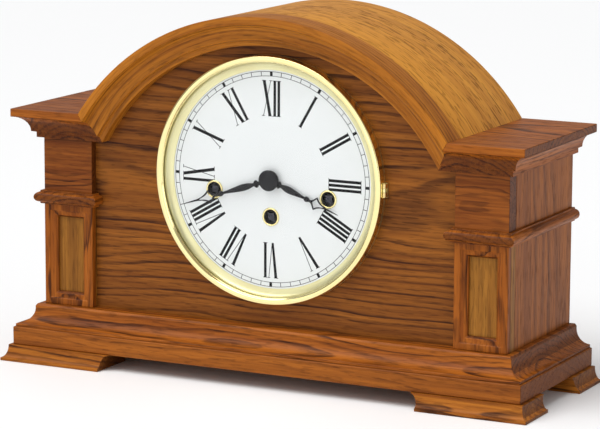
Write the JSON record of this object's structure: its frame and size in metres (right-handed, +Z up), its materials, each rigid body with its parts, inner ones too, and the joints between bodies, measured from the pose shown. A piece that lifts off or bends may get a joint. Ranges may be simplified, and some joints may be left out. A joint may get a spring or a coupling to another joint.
{
  "type": "mantel clock",
  "caption": "Key-wound chiming mantel clock: oak case with an arched moulded top, pilasters, bracket feet, hinged brass bezel, white dial with Roman numerals.",
  "frame": {"origin": "middle of the clock's footprint, on the surface that its feet stand on", "axes": "+Z up, the dial faces -Y, +X to the right of someone looking at the dial"},
  "size_m": [0.4138, 0.1394, 0.262],
  "materials": {
    "oak_case": "stained, satin lacquer, open grain",
    "oak_veneer": "stained, satin lacquer",
    "oak_mouldings": "stained, satin lacquer",
    "oak_feet": "stained, satin lacquer",
    "back_board": "plain oak, matt",
    "brass": "polished, lacquered",
    "movement_brass": "brushed",
    "movement_steel": "turned",
    "dial_white": "white enamel paint",
    "hand_black": "black, satin",
    "glass": "clear, domed",
    "gong_iron": "dark paint",
    "chime_rod_steel": "drawn"
  },
  "bodies": {
    "case": {"bottom_board": "oak_case", "feet": "oak_feet", "base_moulding": "oak_mouldings", "left_side_panel": "oak_case", "right_side_panel": "oak_case", "front_panel": "oak_case", "pilaster_frames": "oak_mouldings", "pilaster_panels": "oak_case", "upper_blocks": "oak_case", "waist_mouldings": "oak_mouldings", "cornice_mouldings": "oak_mouldings", "shoulder_boards": "oak_veneer", "arch_moulding": "oak_mouldings", "arch_roof": "oak_veneer", "back_frame": "back_board", "door_hinges": "brass", "dial_plate": "dial_white", "winding_grommets": "brass", "bezel_seat": "brass", "bezel_hinge": "brass", "front_plate": "movement_brass", "back_plate": "movement_brass", "plate_pillars": "movement_brass", "pillar_nuts": "movement_steel", "movement_screws": "movement_steel", "balance_bridge": "movement_brass", "gong_block": "gong_iron", "chime_rods": "chime_rod_steel"},
    "bezel": {"bezel_ring": "brass", "bezel_glass": "glass"},
    "back_door": {"back_door": "back_board", "door_hinge_leaves": "brass", "door_knob": "brass"},
    "minute_work": {"centre_arbor": "movement_steel", "minute_hand": "hand_black", "hand_nut": "hand_black"},
    "hour_work": {"hour_wheel": "movement_brass", "hour_hand": "hand_black"},
    "minute_wheel": {"minute_wheel": "movement_brass"},
    "time_barrel": {"time_barrel": "movement_brass"},
    "third_wheel": {"third_wheel": "movement_brass"},
    "escape_wheel": {"escape_wheel": "movement_brass"},
    "pallet_lever": {"pallet_lever": "movement_steel"},
    "balance": {"balance": "movement_brass"},
    "time_winding_arbor": {"time_winding_arbor": "movement_steel"},
    "strike_winding_arbor": {"strike_winding_arbor": "movement_steel"},
    "chime_winding_arbor": {"chime_winding_arbor": "movement_steel"},
    "time_click": {"time_click": "movement_steel"},
    "strike_click": {"strike_click": "movement_steel"},
    "chime_click": {"chime_click": "movement_steel"},
    "strike_barrel": {"strike_barrel": "movement_brass"},
    "strike_wheel": {"strike_wheel": "movement_brass"},
    "strike_fly": {"strike_fly": "movement_steel"},
    "chime_barrel": {"chime_barrel": "movement_brass"},
    "chime_drum": {"chime_drum": "movement_brass"},
    "chime_fly": {"chime_fly": "movement_steel"},
    "hammer_1": {"hammer_1": "movement_steel"},
    "hammer_2": {"hammer_2": "movement_steel"},
    "hammer_3": {"hammer_3": "movement_steel"},
    "hammer_4": {"hammer_4": "movement_steel"}
  },
  "joints": [
    {"name": "bezel_hinge_turn", "type": "hinge", "parent": "case", "child": "bezel", "pos_m": [0.0886, -0.0431, 0.1455], "axis": [0, 0, 1], "range_deg": [0, 110]},
    {"name": "back_door_turn", "type": "hinge", "parent": "case", "child": "back_door", "pos_m": [-0.1, 0.0597, 0.1255], "axis": [0, 0, 1], "range_deg": [0, 110]},
    {"name": "minute_turn", "type": "hinge", "parent": "case", "child": "minute_work", "pos_m": [0, -0.0213, 0.1455], "axis": [0, 1, 0], "continuous": true},
    {"name": "hour_turn", "type": "hinge", "parent": "case", "child": "hour_work", "pos_m": [0, -0.0373, 0.1455], "axis": [0, 1, 0], "continuous": true},
    {"name": "minute_wheel_turn", "type": "hinge", "parent": "case", "child": "minute_wheel", "pos_m": [0.0072, -0.0363, 0.15797], "axis": [0, 1, 0], "continuous": true},
    {"name": "time_barrel_turn", "type": "hinge", "parent": "case", "child": "time_barrel", "pos_m": [0, -0.0163, 0.1192], "axis": [0, 1, 0], "continuous": true},
    {"name": "third_wheel_turn", "type": "hinge", "parent": "case", "child": "third_wheel", "pos_m": [-0.0112, -0.0163, 0.1649], "axis": [0, 1, 0], "continuous": true},
    {"name": "escape_wheel_turn", "type": "hinge", "parent": "case", "child": "escape_wheel", "pos_m": [0.00439, -0.0163, 0.1739], "axis": [0, 1, 0], "continuous": true},
    {"name": "pallet_rock", "type": "hinge", "parent": "case", "child": "pallet_lever", "pos_m": [0.01689, -0.0163, 0.1739], "axis": [0, 1, 0], "range_deg": [-5, 5]},
    {"name": "balance_swing", "type": "hinge", "parent": "case", "child": "balance", "pos_m": [0.03039, -0.0123, 0.1739], "axis": [0, 1, 0], "range_deg": [-135, 135], "stiffness_Nm_per_rad": 0.00001},
    {"name": "time_winding", "type": "hinge", "parent": "case", "child": "time_winding_arbor", "pos_m": [0, -0.0163, 0.1192], "axis": [0, 1, 0], "continuous": true},
    {"name": "strike_winding", "type": "hinge", "parent": "case", "child": "strike_winding_arbor", "pos_m": [-0.0447, -0.0163, 0.1353], "axis": [0, 1, 0], "continuous": true},
    {"name": "chime_winding", "type": "hinge", "parent": "case", "child": "chime_winding_arbor", "pos_m": [0.0447, -0.0163, 0.1353], "axis": [0, 1, 0], "continuous": true},
    {"name": "time_click_lift", "type": "hinge", "parent": "case", "child": "time_click", "pos_m": [-0.00919, -0.0353, 0.11001], "axis": [0, -1, 0], "range_deg": [0, 12], "stiffness_Nm_per_rad": 0.002, "springref_deg": -2.86},
    {"name": "strike_click_lift", "type": "hinge", "parent": "case", "child": "strike_click", "pos_m": [-0.0447, -0.0353, 0.1483], "axis": [0, -1, 0], "range_deg": [0, 12], "stiffness_Nm_per_rad": 0.002, "springref_deg": -2.86},
    {"name": "chime_click_lift", "type": "hinge", "parent": "case", "child": "chime_click", "pos_m": [0.0447, -0.0353, 0.1483], "axis": [0, -1, 0], "range_deg": [0, 12], "stiffness_Nm_per_rad": 0.002, "springref_deg": -2.86},
    {"name": "strike_barrel_turn", "type": "hinge", "parent": "case", "child": "strike_barrel", "pos_m": [-0.0447, -0.0163, 0.1353], "axis": [0, 1, 0], "continuous": true},
    {"name": "strike_wheel_turn", "type": "hinge", "parent": "case", "child": "strike_wheel", "pos_m": [-0.0482, -0.0163, 0.15515], "axis": [0, 1, 0], "continuous": true},
    {"name": "strike_fly_turn", "type": "hinge", "parent": "case", "child": "strike_fly", "pos_m": [-0.04307, -0.0163, 0.16925], "axis": [0, 1, 0], "continuous": true},
    {"name": "chime_barrel_turn", "type": "hinge", "parent": "case", "child": "chime_barrel", "pos_m": [0.0447, -0.0163, 0.1353], "axis": [0, 1, 0], "continuous": true},
    {"name": "chime_drum_turn", "type": "hinge", "parent": "case", "child": "chime_drum", "pos_m": [0.0412, 0.0247, 0.11545], "axis": [0, 1, 0], "continuous": true},
    {"name": "chime_fly_turn", "type": "hinge", "parent": "case", "child": "chime_fly", "pos_m": [0.05478, -0.0163, 0.15276], "axis": [0, 1, 0], "continuous": true},
    {"name": "hammer_1_lift", "type": "hinge", "parent": "case", "child": "hammer_1", "pos_m": [0.022, 0.0127, 0.0919], "axis": [0, -1, 0], "range_deg": [0, 18]},
    {"name": "hammer_2_lift", "type": "hinge", "parent": "case", "child": "hammer_2", "pos_m": [0.022, 0.0217, 0.0919], "axis": [0, -1, 0], "range_deg": [0, 18]},
    {"name": "hammer_3_lift", "type": "hinge", "parent": "case", "child": "hammer_3", "pos_m": [0.022, 0.0307, 0.0919], "axis": [0, -1, 0], "range_deg": [0, 18]},
    {"name": "hammer_4_lift", "type": "hinge", "parent": "case", "child": "hammer_4", "pos_m": [0.022, 0.0397, 0.0919], "axis": [0, -1, 0], "range_deg": [0, 18]}
  ],
  "couplings": [
    {"joint": "minute_wheel_turn", "follows": "minute_turn", "ratio": -0.33333},
    {"joint": "hour_turn", "follows": "minute_turn", "ratio": 0.083333},
    {"joint": "time_barrel_turn", "follows": "minute_turn", "ratio": -0.2},
    {"joint": "third_wheel_turn", "follows": "minute_turn", "ratio": -6},
    {"joint": "escape_wheel_turn", "follows": "minute_turn", "ratio": 30},
    {"joint": "strike_wheel_turn", "follows": "strike_barrel_turn", "ratio": -5},
    {"joint": "strike_fly_turn", "follows": "strike_barrel_turn", "ratio": 20},
    {"joint": "chime_drum_turn", "follows": "chime_barrel_turn", "ratio": -5},
    {"joint": "chime_fly_turn", "follows": "chime_barrel_turn", "ratio": -5}
  ]
}
